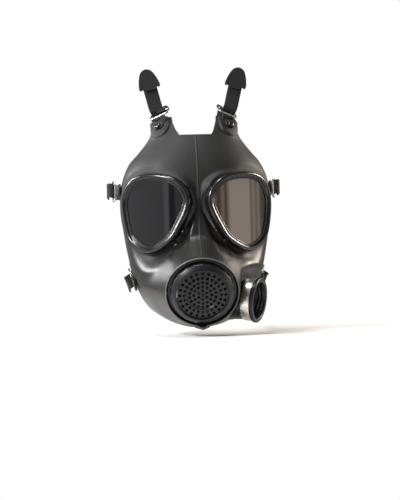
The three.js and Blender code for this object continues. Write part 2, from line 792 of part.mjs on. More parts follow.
// One strap end: the tab from the facepiece, the wire loop and the strap with its free tail.
function strapEnd({ bar, back, out, root, end, tail }) {
  const front = vec(...bar);
  const behind = vec(...back).normalize();
  const away = vec(...out).addScaledVector(behind, -behind.dot(vec(...out))).normalize();
  const wide = new THREE.Vector3().crossVectors(behind, away).normalize();
  const middle = front.clone().addScaledVector(behind, LOOP_LONG / 2);
  const loop = wireLoop(middle, wide, behind, LOOP_WIDE, LOOP_LONG);

  const lift = TAB_LIFT + TAB_THICK / 2;
  const tabStations = root.map(([u, v]) => {
    const face = faceNormal(u, v);
    return { at: facePoint(u, v).addScaledVector(face, lift), face };
  });
  const reach = front.clone().sub(tabStations.at(-1).at);
  reach.addScaledVector(wide, -reach.dot(wide)).normalize();
  const tabEnd = front.clone().addScaledVector(reach, -WIRE_R - TAB_END_GAP);
  const tabFace = new THREE.Vector3().crossVectors(wide, reach).normalize();
  tabFace.multiplyScalar(Math.sign(tabFace.dot(tabStations.at(-1).face)));
  tabStations.push({ at: tabEnd.clone().addScaledVector(reach, -TAB_STRAIGHT), face: tabFace });
  tabStations.push({ at: tabEnd, face: tabFace });
  const tab = ribbon(tabStations, TAB_WIDE, TAB_THICK, TAB_STEPS);

  const under = WIRE_R + GAP + WEB_THICK / 2 + 0.4;
  const entry = front.clone().addScaledVector(behind, LOOP_LONG).addScaledVector(away, -under);
  const stations = tail.map(({ at, face }) => ({ at: vec(...at), face: vec(...face) })).reverse();
  const through = middle.clone();
  stations.push({ at: through, face: away.clone().add(behind) });
  stations.push({ at: entry, face: away.clone() });
  const onPad = vec(end[0], HEAD.y * Math.sqrt(1 - (end[0] / HEAD.x) ** 2), end[1]);
  const start = entry.clone().addScaledVector(behind, LOOP_LONG);
  overHead(start, onPad, PAD_THICK + GAP + WEB_THICK / 2, 8).forEach((at) => {
    stations.push({ at, face: headSide(at) });
  });
  const strap = ribbon(stations, WEBBING, WEB_THICK, STRAP_STEPS);
  return { loop, tab, strap, tabStations };
}

// Moulded spade end of a standing tail, drawn upright and then leant with the tail.
function spadeTip() {
  const outline = new THREE.Shape();
  outline.moveTo(-8, 0);
  outline.lineTo(-10.6, -1.2);
  outline.lineTo(-11.6, 0.8);
  outline.bezierCurveTo(-10.6, 5, -9.2, 11, -7, 15);
  outline.bezierCurveTo(-5, 18.8, -2.6, 20, 0, 20);
  outline.bezierCurveTo(2.6, 20, 5, 18.8, 7, 15);
  outline.bezierCurveTo(9.2, 11, 10.6, 5, 11.6, 0.8);
  outline.lineTo(10.6, -1.2);
  outline.lineTo(8, 0);
  const geometry = new THREE.ExtrudeGeometry(outline, {
    depth: TIP_THICK, bevelEnabled: false, curveSegments: 4,
  });
  geometry.translate(0, 0, -TIP_THICK / 2);
  return geometry;
}

function topTip(tail) {
  const last = vec(...tail.at(-1).at);
  const up = last.clone().sub(vec(...tail.at(-2).at)).normalize();
  const face = vec(...tail.at(-1).face).negate();
  const across = new THREE.Vector3().crossVectors(up, face).normalize();
  const geometry = spadeTip();
  const depth = new THREE.Vector3().crossVectors(across, up);
  geometry.applyMatrix4(new THREE.Matrix4().makeBasis(across, up, depth));
  last.addScaledVector(up, GAP);
  geometry.translate(last.x, last.y, last.z);
  return geometry;
}

function stud(tabStations) {
  const { at, face } = tabStations[1];
  const profile = [
    { r: 0, h: 0 },
    { r: STUD_R, h: 0 },
    { r: STUD_R, h: STUD_HIGH * 0.4 },
    { r: STUD_R * 0.7, h: STUD_HIGH * 0.85 },
    { r: 0, h: STUD_HIGH },
  ];
  const place = at.clone().addScaledVector(face, TAB_THICK / 2 + GAP);
  return aimed(turned(profile, STUD_SIDES), place, face);
}

const rubber = { color: 0x2c2b2b, roughness: 0.55, metalness: 0 };
const gloss = { color: 0x0d0c0c, roughness: 0.15, metalness: 0 };
const tinted = { color: 0x3a3733, roughness: 0.06, metalness: 0.3 };
const plastic = { color: 0x2a2a2d, roughness: 0.4, metalness: 0 };
const steel = { color: 0xd8d2c4, roughness: 0.25, metalness: 1 };
const fabric = { color: 0x1c1b1b, roughness: 0.9, metalness: 0 };

const mask = new THREE.Group();

function addPiece(name, geometry, look) {
  const piece = new THREE.Mesh(geometry, new THREE.MeshStandardMaterial(look));
  piece.name = name;
  mask.add(piece);
}

function addPair(name, geometry, look) {
  addPiece(name + "_left", geometry, look);
  addPiece(name + "_right", flip(geometry), look);
}

addPiece("facepiece", facepiece(), rubber);
addPair("eye_rim", eyeRim(), gloss);
addPair("lens", lens(), tinted);
addPiece("valve_flange", valveFlange(), plastic);
addPiece("valve_cup", valveCup(), plastic);
addPiece("valve_grille", valveGrille(), plastic);
addPiece("port_socket", portSocket(), plastic);
addPiece("port_clamp_band", clampBand(), steel);
Object.entries(anchors).forEach(([name, anchor]) => {
  const { loop, tab, strap, tabStations } = strapEnd(anchor);
  addPair(name + "_tab", tab, rubber);
  addPair(name + "_buckle", loop, steel);
  addPair(name + "_strap", strap, fabric);
  if (name === "top") {
    addPair("top_stud", stud(tabStations), gloss);
    addPair("top_tip", topTip(anchor.tail), plastic);
  }
});
addPiece("head_pad", headPad(), fabric);

export default mask;
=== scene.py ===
import math

import bmesh
import bpy
import numpy as np
from mathutils import Matrix, Vector
from mathutils.kdtree import KDTree


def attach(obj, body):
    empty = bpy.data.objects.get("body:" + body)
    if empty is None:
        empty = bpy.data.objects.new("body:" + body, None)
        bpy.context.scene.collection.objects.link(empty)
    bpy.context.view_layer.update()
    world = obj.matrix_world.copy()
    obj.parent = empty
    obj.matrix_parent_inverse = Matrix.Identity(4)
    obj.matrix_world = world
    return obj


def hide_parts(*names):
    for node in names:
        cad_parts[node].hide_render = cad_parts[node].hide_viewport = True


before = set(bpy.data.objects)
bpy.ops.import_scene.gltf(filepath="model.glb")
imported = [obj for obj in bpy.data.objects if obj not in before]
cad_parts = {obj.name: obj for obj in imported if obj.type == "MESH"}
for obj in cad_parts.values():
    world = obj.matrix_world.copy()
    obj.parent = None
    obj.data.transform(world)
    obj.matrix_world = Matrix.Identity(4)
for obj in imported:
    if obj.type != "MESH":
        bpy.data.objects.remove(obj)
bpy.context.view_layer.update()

# Viewpoint. The mask faces the camera almost squarely and level, through a long lens from well back.
# It leans a little to one side as worn, so the camera is rolled by the same amount.
view_distance = 1.8
view_turn = math.radians(-3)
view_roll = math.radians(1.6)
view_back = Vector((math.sin(view_turn), -math.cos(view_turn), 0))
view_right = Vector((math.cos(view_turn), math.sin(view_turn), 0))
view_up = Vector((0, 0, 1))
view_target = Vector((0.0052, 0, -0.0385))
lens = bpy.data.cameras.new("viewpoint")
lens.sensor_fit = "VERTICAL"
lens.sensor_height = 36
lens.lens = 117.7
camera = bpy.data.objects.new("viewpoint", lens)
bpy.context.scene.collection.objects.link(camera)
view_axes = Matrix((
    view_right * math.cos(view_roll) - view_up * math.sin(view_roll),
    view_right * math.sin(view_roll) + view_up * math.cos(view_roll),
    view_back,
))
view_place = view_target + view_distance * view_back
camera.matrix_world = Matrix.Translation(view_place) @ view_axes.transposed().to_4x4()
bpy.context.scene.camera = camera

# Facepiece. One moulding of black rubber, 2.4 mm thick, from the two strap horns over brow, cheeks and
# chin. It is a sheet of fine squares laid on the drawn cross sections, given its wall, then its collar.
face_sections = np.array([
    # turn of the half section, middle y and z, rear edge x, y and z
    (42, -45, 107, 47, -44, 98),
    (46, -54, 101, 46.8, -46.5, 92.5),
    (52, -63, 94, 46.5, -48, 87),
    (62, -73, 82, 51, -46, 78),
    (74, -82, 69, 61, -39, 66),
    (84, -89, 56, 70.6, -30, 55.7),
    (90, -94, 43, 77, -25, 42),
    (90, -97, 29, 80.5, -20, 28),
    (90, -99, 14, 81.5, -20, 14),
    (90, -100, 0, 81, -22, 0),
    (90, -103, -14, 79, -24, -14),
    (90, -107, -28, 77, -23, -28),
    (90, -111, -42, 74.5, -22, -42),
    (90, -114, -56, 71.5, -23, -56),
    (90, -115, -70, 67.5, -27, -70),
    (90, -113, -84, 62.5, -33, -84),
    (88, -107, -98, 53.5, -41, -98),
    (86, -98, -109, 41, -51, -107),
    (84, -85, -116, 30, -56, -112.5),
    (82, -70, -118.5, 18, -60, -116.5),
], float)
face_power = 2 / 2.4
face_wall = 2.4
collar_r = 38.4
collar_depth = 12
valve_axis = np.array([0, -math.cos(math.radians(22.5)), -math.sin(math.radians(22.5))])
valve_place = np.array([0, -122, -81.5])
port_axis = np.array([0.905, -0.403, -0.132]) / np.linalg.norm([0.905, -0.403, -0.132])
port_mouth = np.array([61.5, -93, -93])
port_seat_depth = 17.6
neck_r = 21.6
lens_turn = math.radians(38)
lens_along = np.array([math.cos(lens_turn), math.sin(lens_turn), 0])
lens_out = np.array([math.sin(lens_turn), -math.cos(lens_turn), 0])
lens_place = np.array([44, -80, 0])
lens_bow = 6
lens_span = 81.2
eye_hole_margin = 6.7
notch_floor = 84
near_edge = 0.3
lens_corners = np.array([
    (1.6, 36), (-26.5, 30), (-37.6, 13.5), (-27.4, -11.6), (-18.8, -23.5), (4.2, -34),
    (20.6, -28.8), (30, -20), (37.3, 12), (33.5, 23), (24, 32.3),
])


def ease(low, high, x):
    t = np.clip((x - low) / (high - low), 0, 1)
    return t * t * (3 - 2 * t)


def curve_step(b, c, m, n, w):
    return b + m * w + (3 * (c - b) - 2 * m - n) * w**2 + (2 * (b - c) + m + n) * w**3


def between_sections(rows, t):
    ends = np.vstack([2 * rows[0] - rows[1], rows, 2 * rows[-1] - rows[-2]])
    place = np.clip(t, 0, 1) * (len(rows) - 1)
    i = np.minimum(place.astype(int), len(rows) - 2)
    a, b, c, d = (ends[i + k] for k in range(4))
    return curve_step(b, c, (c - a) / 2, (d - b) / 2, (place - i)[:, None])


def smooth_run(points, closed=False, steps=24):
    """Points along a smooth line through the given ones, which bends evenly at each of them."""
    points = np.asarray(points, float)
    count = len(points)
    if closed:
        line = np.vstack([points[-1], points, points[:2]])
    else:
        line = np.vstack([2 * points[0] - points[1], points, 2 * points[-1] - points[-2]])
    run = []
    for i in range(count if closed else count - 1):
        a, b, c, d = line[i:i + 4]
        p, q, r = (math.sqrt(max(np.linalg.norm(y - x), 1e-6)) for x, y in ((a, b), (b, c), (c, d)))
        m = ((b - a) / p - (c - a) / (p + q) + (c - b) / q) * q
        n = ((c - b) / q - (d - b) / (q + r) + (d - c) / r) * q
        run += [curve_step(b, c, m, n, w) for w in np.arange(steps) / steps]
    if not closed:
        run.append(points[-1])
    return np.array(run)


def evenly(run, count, closed=False):
    """The run cut into count equal steps, and the place of each step in the run."""
    line = np.vstack([run, run[:1]]) if closed else run
    far = np.concatenate([[0], np.cumsum(np.linalg.norm(np.diff(line, axis=0), axis=1))])
    stops = np.linspace(0, far[-1], count + 1)[:count if closed else None]
    at = np.interp(stops, far, np.arange(len(line)))
    return np.stack([np.interp(at, np.arange(len(line)), axis) for axis in line.T], 1), at


lens_edge = evenly(smooth_run(lens_corners, closed=True), 96, closed=True)[0]


def lens_bulge(s):
    return lens_bow * (1 - (2 * s / lens_span) ** 2)


def lens_slope(s):
    return -8 * lens_bow * s / lens_span**2


def beyond_glass(s, z):
    """How far a place lies outside the edge of the glass, and the way that leads out."""
    spot = np.stack([s, z], 1)
    start, run = lens_edge, np.roll(lens_edge, -1, 0) - lens_edge
    run = np.where(np.abs(run) < 1e-9, 1e-9, run)
    off = spot[:, None] - start[None]
    t = np.clip((off * run).sum(2) / (run**2).sum(1), 0, 1)
    off = off - t[:, :, None] * run
    near = np.argmin((off**2).sum(2), 1)
    off = off[np.arange(len(spot)), near]
    far = np.linalg.norm(off, axis=1)
    above = start[:, 1] > z[:, None]
    side = start[:, 0] + (z[:, None] - start[:, 1]) / run[:, 1] * run[:, 0] > s[:, None]
    inside = ((above != np.roll(above, -1, 1)) & side).sum(1) % 2 == 1
    sign = np.where(inside, -1.0, 1.0)
    return sign * far, off / np.maximum(far, 1e-6)[:, None] * sign[:, None]


def along_axis(p, place, axis):
    """Height above a place along an axis, distance from the axis, and the way out from it."""
    off = p - place
    height = off @ axis
    off = off - height[:, None] * axis
    far = np.linalg.norm(off, axis=1)
    return height, far, off / np.maximum(far, 1e-6)[:, None]


def from_lens(p):
    """Distance along the lens from its middle, and out from its chord."""
    off = np.stack([np.abs(p[:, 0]), p[:, 1], p[:, 2]], 1) - lens_place
    return off @ lens_along, off @ lens_out


def bare_face(u, v):
    """The smooth face on the cross sections: u runs from right to left, v from the horns to the chin."""
    turn, mid_y, mid_z, edge_x, edge_y, edge_z = between_sections(face_sections, v).T
    turn = np.radians(np.minimum(turn, 90))
    a = np.abs(u) * turn
    x = edge_x * np.sin(a) ** face_power / np.sin(turn) ** face_power
    back = 1 - np.maximum(np.cos(a), 0) ** face_power
    back /= 1 - np.maximum(np.cos(turn), 0) ** face_power
    return np.stack([np.sign(u) * x, mid_y + (edge_y - mid_y) * back, mid_z + (edge_z - mid_z) * back], 1)


snout_blend = 6
snout_fade = (52, 75)
port_seat_blend = 3
port_seat_fade = (26, 42)
valley_top = np.array([9.5, 4])
valley_run = np.array([16.5, -45])
valley_depth = (10, 17)
valley_half_width = (5, 7.5)
lens_seat_depth = 3
lens_seat_blend = 2.5
sunk_seat_fade = (7, 28)
raised_seat_fade = (8, 12)


def face_at(u, v):
    """The face with its snout, its seats for the port and the lenses, and the valleys beside the nose."""
    u, v = np.atleast_1d(u).astype(float), np.atleast_1d(v).astype(float)
    p = bare_face(u, v)
    # snout that carries the exhale valve
    height, snout, _ = along_axis(p, valve_place, valve_axis)
    steep = 2 + 2.5 * ease(-76, -42, p[:, 2])
    cone = np.where(snout < collar_r, 0, -steep * (snout - collar_r))
    joined = np.minimum((height + cone + np.hypot(height - cone, snout_blend)) / 2, 2)
    p += ((joined - height) * (1 - ease(*snout_fade, snout)))[:, None] * valve_axis
    # flat seat behind the filter port
    height, far, _ = along_axis(p, port_mouth, port_axis)
    sunk = -port_seat_depth - height
    sunk = (sunk - np.hypot(sunk, port_seat_blend)) / 2 * (1 - ease(*port_seat_fade, far))
    sunk *= ease(collar_r, collar_r + 6, snout)
    p += sunk[:, None] * port_axis
    # valleys beside the nose
    clear = ease(collar_r + 1, collar_r + 13, snout)
    off = np.stack([np.abs(p[:, 0]), p[:, 2]], 1) - valley_top
    t = np.clip(off @ valley_run / (valley_run @ valley_run), 0, 1)
    away = np.linalg.norm(off - t[:, None] * valley_run, axis=1)
    depth = np.interp(t, [0, 1], valley_depth)
    p[:, 1] += depth * np.exp(-((away / np.interp(t, [0, 1], valley_half_width)) ** 4)) * clear
    # seats of the two lenses, clear of the ridge of the nose and of the snout
    s, out = from_lens(p)
    rise = lens_bulge(s) - lens_seat_depth - out
    far = beyond_glass(s, p[:, 2])[0]
    sunk = (rise - np.hypot(rise, lens_seat_blend)) / 2
    raised = rise - sunk
    rise = sunk * (1 - ease(*sunk_seat_fade, far)) + raised * (1 - ease(*raised_seat_fade, far))
    ridge = 2 + 0.27 * np.clip(8 - p[:, 2], 0, 60)
    rise *= ease(ridge, ridge + 7, np.abs(p[:, 0])) * clear
    p[:, 0] += np.sign(p[:, 0]) * lens_out[0] * rise
    p[:, 1] += lens_out[1] * rise
    return p


def face_out(u, v):
    """The way straight out from the face."""
    across = face_at(np.minimum(u + 1e-3, 1), v) - face_at(np.maximum(u - 1e-3, -1), v)
    down = face_at(u, np.minimum(v + 1e-3, 1)) - face_at(u, np.maximum(v - 1e-3, 0))
    out = np.cross(down, across)
    return out / np.linalg.norm(out, axis=1)[:, None]


horn_root = face_at(0.725, 0.098)[0]
horn_end = np.array([37.3, -50, 105.8])
seam_height = 0.3
boss_height = 1.9
boss_edge = (10.2, 12)


def dressed_face(a, b):
    """The face with its low relief, the moulding seam and the bosses of the horns."""
    t = np.abs(2 * a - 1)
    u = np.sign(2 * a - 1) * t**1.5 / (t**1.5 + (1 - t) ** 1.25)
    v = 1 - b
    p = face_at(u, v)
    out = face_out(u, v)
    seam = seam_height * np.exp(-((p[:, 0] / 0.7) ** 2)) * ease(-52, -44, p[:, 2])
    side = np.stack([np.abs(p[:, 0]), p[:, 1], p[:, 2]], 1) - horn_root
    run = horn_end - horn_root
    k = np.clip(side @ run / (run @ run), 0, 1.4)
    away = np.linalg.norm(side - k[:, None] * run, axis=1)
    boss = boss_height * (1 - ease(*boss_edge, away))
    return p + (seam + boss)[:, None] * out


def laid_grid(columns, rows, place):
    """Squares of a grid laid on the places that place gives for shares of its width and height."""
    bm = bmesh.new()
    bmesh.ops.create_grid(bm, x_segments=columns, y_segments=rows, size=1)
    share = np.array([v.co[:2] for v in bm.verts]) / 2 + 0.5
    for vert, spot in zip(bm.verts, place(share[:, 0], share[:, 1])):
        vert.co = spot
    return bm


def cut_out(bm, edge):
    """Cuts the sheet along the line where edge, a signed distance and its direction, is zero."""
    bm.verts.ensure_lookup_table()
    bm.verts.index_update()
    far, way = edge(np.array([v.co for v in bm.verts]))
    for line in bm.edges:
        a, b = (v.index for v in line.verts)
        if far[a] * far[b] < 0:
            i = a if abs(far[a]) < abs(far[b]) else b
            bm.verts[i].co -= Vector(way[i] * far[i])
            far[i] = 0
    split = []
    for face in bm.faces:
        signs = [far[v.index] for v in face.verts]
        if min(signs) < 0 < max(signs):
            split.append(face)
    for face in split:
        bmesh.ops.connect_verts(bm, verts=[v for v in face.verts if far[v.index] == 0])
    gone = [f for f in bm.faces if sum(far[v.index] for v in f.verts) <= 0]
    bmesh.ops.delete(bm, geom=gone, context="FACES")


def eye_hole(p):
    s, _ = from_lens(p)
    far, way = beyond_glass(s, p[:, 2])
    sideways = lens_along + lens_slope(s)[:, None] * lens_out
    way3 = way[:, :1] * sideways + way[:, 1:] * np.array([0, 0, 1])
    way3[:, 0] *= np.sign(p[:, 0])
    return far - eye_hole_margin, way3


def valve_hole(p):
    _, far, way = along_axis(p, valve_place, valve_axis)
    return np.where(p[:, 1] < -70, far - collar_r, 99), way


def port_hole(p):
    _, far, way = along_axis(p, port_mouth, port_axis)
    return np.where(p[:, 0] > 20, far - neck_r + 1, 99), way


def brow_notch(p):
    """The gap between the horns: a level floor and two sides that lean apart."""
    x, z = np.abs(p[:, 0]), p[:, 2]
    side_x = np.interp(z, [notch_floor, 90, 99, 125], [17, 20.5, 23.5, 24.5])
    to_side, to_floor = x - side_x, notch_floor - z
    far = np.maximum(to_side, to_floor)
    across = to_side > to_floor
    way = np.zeros_like(p)
    way[:, 0] = np.where(across, np.sign(p[:, 0]), 0)
    way[:, 2] = np.where(across, 0, -1)
    return far, way


def turned(profile, steps=96):
    """A closed profile of radius and height, spun round the upright axis."""
    bm = bmesh.new()
    corners = [bm.verts.new((r, 0, h)) for r, h in profile]
    lines = [bm.edges.new(pair) for pair in zip(corners, corners[1:] + corners[:1])]
    bmesh.ops.spin(
        bm, geom=corners + lines, axis=(0, 0, 1), cent=(0, 0, 0), angle=2 * math.pi, steps=steps,
        use_merge=True)
    bmesh.ops.remove_doubles(bm, verts=bm.verts, dist=1e-4)
    bmesh.ops.delete(bm, geom=[e for e in bm.edges if not e.link_faces], context="EDGES")
    bmesh.ops.recalc_face_normals(bm, faces=bm.faces)
    return bm


def aim(bm, place, axis):
    """Turns a piece that was made upright onto its axis and moves it to its place."""
    turn = Vector((0, 0, 1)).rotation_difference(Vector(axis)).to_matrix().to_4x4()
    bmesh.ops.transform(bm, matrix=Matrix.Translation(Vector(place)) @ turn, verts=bm.verts)
    return bm


def join_in(bm, other):
    """Adds another part of the same moulding."""
    mesh = bpy.data.meshes.new("part")
    other.to_mesh(mesh)
    other.free()
    bm.from_mesh(mesh)
    bpy.data.meshes.remove(mesh)


cut = laid_grid(236, 200, dressed_face)
for hole in (brow_notch, eye_hole, port_hole, valve_hole):
    cut_out(cut, hole)
bmesh.ops.delete(cut, geom=[v for v in cut.verts if not v.link_faces], context="VERTS")
bm = bmesh.new()
join_in(bm, cut)
front = set(bm.verts)
front_faces = set(bm.faces)
border = [v for v in bm.verts if v.is_boundary]
spots = np.array([v.co for v in border])
to_eye, to_port, to_valve = (abs(hole(spots)[0]) for hole in (eye_hole, port_hole, valve_hole))
collar_rim = {v for v, away in zip(border, to_valve) if away < near_edge}
worn = {v for v, away in zip(border, np.minimum(to_eye, to_port)) if away > near_edge} - collar_rim
bmesh.ops.solidify(bm, geom=bm.faces[:], thickness=face_wall)
inner = [v for v in bm.verts if v not in front]

# wall thrown clear of the skin, where the sheet turns sharply, is drawn back beside its neighbours
skin = KDTree(len(front))
for i, vert in enumerate(front):
    skin.insert(vert.co, i)
skin.balance()
thrown = {v for v in inner if skin.find(v.co)[2] > 1.4 * face_wall}
for _ in range(6):
    for vert in [v for v in inner if v in thrown]:
        others = [line.other_vert(vert) for line in vert.link_edges]
        near = [other.co for other in others if other not in thrown]
        if near:
            vert.co = sum(near, Vector()) / len(near)
            thrown.remove(vert)
inside = [v for v in inner if all(all(w not in front for w in f.verts) for f in v.link_faces)]
for _ in range(6):
    bmesh.ops.smooth_vert(bm, verts=inside, factor=0.5, use_axis_x=True, use_axis_y=True, use_axis_z=True)

# collar: the rim of the snout rolls over into a lip and runs back to the inner skin
collar_lip = ((38.35, 1.2), (38.15, 1.8), (37.7, 2.2), (37.2, 2.1), (36.9, 1.7), (36.8, 1), (36.8, -6))
collar_foot = (36.8, -collar_depth)
rim_verts = [v for v in border if v in collar_rim]
behind = {v: e.other_vert(v) for v in rim_verts for e in v.link_edges if e.other_vert(v) not in front}
strip = [f for f in bm.faces if f not in front_faces and any(v in collar_rim for v in f.verts)]
bmesh.ops.delete(bm, geom=strip, context="FACES")
for vert in inner:
    if vert.co.y < -70:
        height, far, way = along_axis(np.array([vert.co]), valve_place, valve_axis)
        level = -collar_depth + 1.4 * max(far[0] - 41, 0)
        if height[0] > level:
            vert.co += Vector((level - height[0]) * valve_axis)
ring = [e for e in bm.edges if e.is_boundary and all(v in collar_rim for v in e.verts)]
for r, h in (*collar_lip, collar_foot):
    made = bmesh.ops.extrude_edge_only(bm, edges=ring)["geom"]
    lip = [v for v in made if isinstance(v, bmesh.types.BMVert)]
    ring = [e for e in made if isinstance(e, bmesh.types.BMEdge) and all(v in set(lip) for v in e.verts)]
    ways = along_axis(np.array([v.co for v in lip]), valve_place, valve_axis)[2]
    for vert, way in zip(lip, ways):
        vert.co = valve_place + r * way + h * valve_axis
for vert, other in behind.items():
    way = along_axis(np.array([vert.co]), valve_place, valve_axis)[2][0]
    other.co = valve_place + collar_foot[0] * way + collar_foot[1] * valve_axis
bmesh.ops.remove_doubles(bm, verts=lip + list(behind.values()), dist=0.02)

# rounded edge all along the rear and the notch
edges = [e for e in bm.edges if all(v in worn for v in e.verts)]
outer = [e for e in edges if sum(f in front_faces for f in e.link_faces) == 1]
bmesh.ops.bevel(
    bm, geom=outer, affect="EDGES", offset=0.6, segments=3, profile=0.5, material=-1, clamp_overlap=True)

# neck that takes the filter socket, and the small tab under the chin
neck = turned([
    (20.4, -34), (25, -34), (22.6, -24), (22, -18), (neck_r, -15), (neck_r, -5), (21.2, -4.4),
    (20.4, -4.4),
])
join_in(bm, aim(neck, port_mouth, port_axis))
chin = np.linspace(0.9, 1, 101)
chin_v = chin[np.argmin(np.abs(face_at(np.zeros(101), chin)[:, 2] + 117))]
nub = bmesh.new()
bmesh.ops.create_cone(nub, cap_ends=True, segments=4, radius1=7.5, radius2=0.8, depth=11)
bmesh.ops.rotate(nub, verts=nub.verts, cent=(0, 0, 0), matrix=Matrix.Rotation(math.pi / 4, 3, "Z"))
bmesh.ops.transform(nub, verts=nub.verts, matrix=Matrix.Diagonal((1.5, 0.6, 1, 1)))
bmesh.ops.translate(nub, verts=nub.verts, vec=(0, 0, 3.5))
bmesh.ops.bevel(nub, geom=nub.edges[:], affect="EDGES", offset=0.4, segments=2, profile=0.5, material=-1)
join_in(bm, aim(nub, face_at(0, chin_v)[0], face_out(np.array([0.0]), np.array([chin_v]))[0]))


class Shade:
    """A socket of a material. Arithmetic on it adds Math nodes, and node() adds any other."""

    def __init__(self, tree, socket=None):
        self.tree = tree
        self.socket = socket

    def node(self, kind, settings=None, inputs=None, output=0):
        made = self.tree.nodes.new(kind)
        for name, value in (settings or {}).items():
            if name == "stops":
                stops = made.color_ramp.elements
                while len(stops) < len(value):
                    stops.new(0.5)
                for stop, (place, shade) in zip(stops, value):
                    shade = shade if isinstance(shade, tuple) else (shade,) * 3
                    stop.position = place
                    stop.color = (*shade, 1)
            else:
                setattr(made, name, value)
        for name, value in (inputs or {}).items():
            if isinstance(value, Shade):
                self.tree.links.new(value.socket, made.inputs[name])
            else:
                made.inputs[name].default_value = value
        return Shade(self.tree, made.outputs[output])

    def math(self, operation, first, second=0.0):
        return self.node("ShaderNodeMath", {"operation": operation}, {0: first, 1: second})

    def __add__(self, other):
        return self.math("ADD", self, other)

    def __radd__(self, other):
        return self.math("ADD", other, self)

    def __sub__(self, other):
        return self.math("SUBTRACT", self, other)

    def __rsub__(self, other):
        return self.math("SUBTRACT", other, self)

    def __mul__(self, other):
        return self.math("MULTIPLY", self, other)

    def __rmul__(self, other):
        return self.math("MULTIPLY", other, self)

    def __truediv__(self, other):
        return self.math("DIVIDE", self, other)

    def __rtruediv__(self, other):
        return self.math("DIVIDE", other, self)

    def sine(self):
        return self.math("SINE", self)

    def root(self):
        return self.math("SQRT", self)

    def size(self):
        return self.math("ABSOLUTE", self)

    def parts(self, vector):
        return [self.node("ShaderNodeSeparateXYZ", inputs={"Vector": vector}, output=k) for k in range(3)]

    def place(self, kind="Object"):
        return self.node("ShaderNodeTexCoord", output=kind)

    def noise(self, size, detail=2.0):
        """Soft noise from 0 to 1 with lumps about size millimetres wide."""
        inputs = {"Vector": self.place(), "Scale": 1000 / size, "Detail": detail}
        return self.node("ShaderNodeTexNoise", inputs=inputs)

    def steps(self, value, *stops):
        return self.node("ShaderNodeValToRGB", {"stops": stops}, {"Fac": value})

    def mix(self, share, first, second):
        first, second = ((*shade, 1) if isinstance(shade, tuple) else shade for shade in (first, second))
        return self.node("ShaderNodeMix", {"data_type": "RGBA"}, {0: share, 6: first, 7: second}, 2)


def finish(name, colour, roughness, relief=None, depth=0.1, alpha=None, **fixed):
    """A material from a colour, a roughness and a relief, each a function of the shader's sockets."""
    material = bpy.data.materials.new(name)
    material.use_nodes = True
    shader = material.node_tree.nodes["Principled BSDF"]
    sheet = Shade(material.node_tree)
    for socket, value in (("Base Color", colour), ("Roughness", roughness)):
        value = value(sheet) if callable(value) else value
        if isinstance(value, Shade):
            sheet.tree.links.new(value.socket, shader.inputs[socket])
        else:
            shader.inputs[socket].default_value = (*value, 1) if isinstance(value, tuple) else value
    if alpha:
        sheet.tree.links.new(alpha(sheet).socket, shader.inputs["Alpha"])
    if relief:
        bump = sheet.node("ShaderNodeBump", inputs={
            "Strength": 1.0, "Distance": depth / 1000, "Height": relief(sheet)})
        sheet.tree.links.new(bump.socket, shader.inputs["Normal"])
    for socket, value in fixed.items():
        shader.inputs[socket.replace("_", " ")].default_value = value
    return material


def rubber_colour_and_painted_highlights(s):
    """Black, and paler along the seam and the lip of the collar, where their highlights are painted."""
    x, y, z = s.parts(s.place())
    nx, ny, nz = (float(q) for q in valve_axis)
    ox, oy, oz = (float(q) / 1000 for q in valve_place)
    height = (y - oy) * ny + (z - oz) * nz
    far = (x * x + (y - oy) * (y - oy) + (z - oz) * (z - oz) - height * height).root()
    # painted highlight: a paler band round the front of the collar's lip
    lip = s.steps((far - 0.036) * 250, (0.2, 0.0), (0.34, 1.0), (0.56, 1.0), (0.66, 0.0))
    lip = lip * s.steps(height * 100 + 0.5, (0.5, 0.0), (0.6, 1.0))
    lip = lip * s.steps(y * -10, (0.7, 0.0), (0.8, 1.0))
    # painted highlight: a paler thin line down the middle along the seam
    seam = s.steps(x.size() * 1000, (0.2, 1.0), (0.55, 0.0))
    seam = seam * s.steps(z * 10 + 0.5, (0.02, 0.0), (0.1, 1.0))
    black = s.mix(s.noise(40), (0.011, 0.0108, 0.0105), (0.018, 0.0175, 0.0165))
    # the pale grey that paints these highlights
    return s.mix(lip * 0.8 + seam * 0.22, black, (0.16, 0.16, 0.14))


def rubber_roughness(s):
    """Matt over the brow and smoother towards the snout."""
    height = s.parts(s.place())[2]
    return s.steps(height * 5 + 0.5, (0.4, 0.29), (0.65, 0.5)) + 0.1 * s.noise(18) + 0.06 * s.noise(1.2)


rubber = finish(
    "black_rubber",
    rubber_colour_and_painted_highlights,
    rubber_roughness,
    lambda s: s.noise(0.7) + 3 * s.noise(26, 1.0),
    depth=0.04,
)


def finish_piece(name, bm, material, slot, *nodes, sharp=40, bevel=0.0):
    """The mesh, drawn in millimetres, becomes a piece that stands for the CAD nodes."""
    bmesh.ops.scale(bm, vec=(0.001, 0.001, 0.001), verts=bm.verts)
    mesh = bpy.data.meshes.new(name)
    bm.to_mesh(mesh)
    bm.free()
    mesh.materials.append(material)
    mesh.shade_smooth()
    mesh.set_sharp_from_angle(angle=math.radians(sharp))
    piece = bpy.data.objects.new(name, mesh)
    bpy.context.scene.collection.objects.link(piece)
    if bevel:
        rounding = piece.modifiers.new("rounding", "BEVEL")
        rounding.width = bevel / 1000
        rounding.segments = 3
        rounding.limit_method = "ANGLE"
        rounding.angle_limit = math.radians(30)
    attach(piece, "root")
    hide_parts(*nodes)
    return piece


def finish_pair(name, bm, material, slot, node, sharp=40, bevel=0.0):
    """The piece on the wearer's left and its mirror image on the right."""
    other = bm.copy()
    bmesh.ops.scale(other, vec=(-1, 1, 1), verts=other.verts)
    bmesh.ops.reverse_faces(other, faces=other.faces)
    return [
        finish_piece(name + "_left", bm, material, slot, node + "_left", sharp=sharp, bevel=bevel),
        finish_piece(name + "_right", other, material, slot, node + "_right", sharp=sharp, bevel=bevel),
    ]


finish_piece("rubber_face", bm, rubber, "rubber", "facepiece", sharp=50)

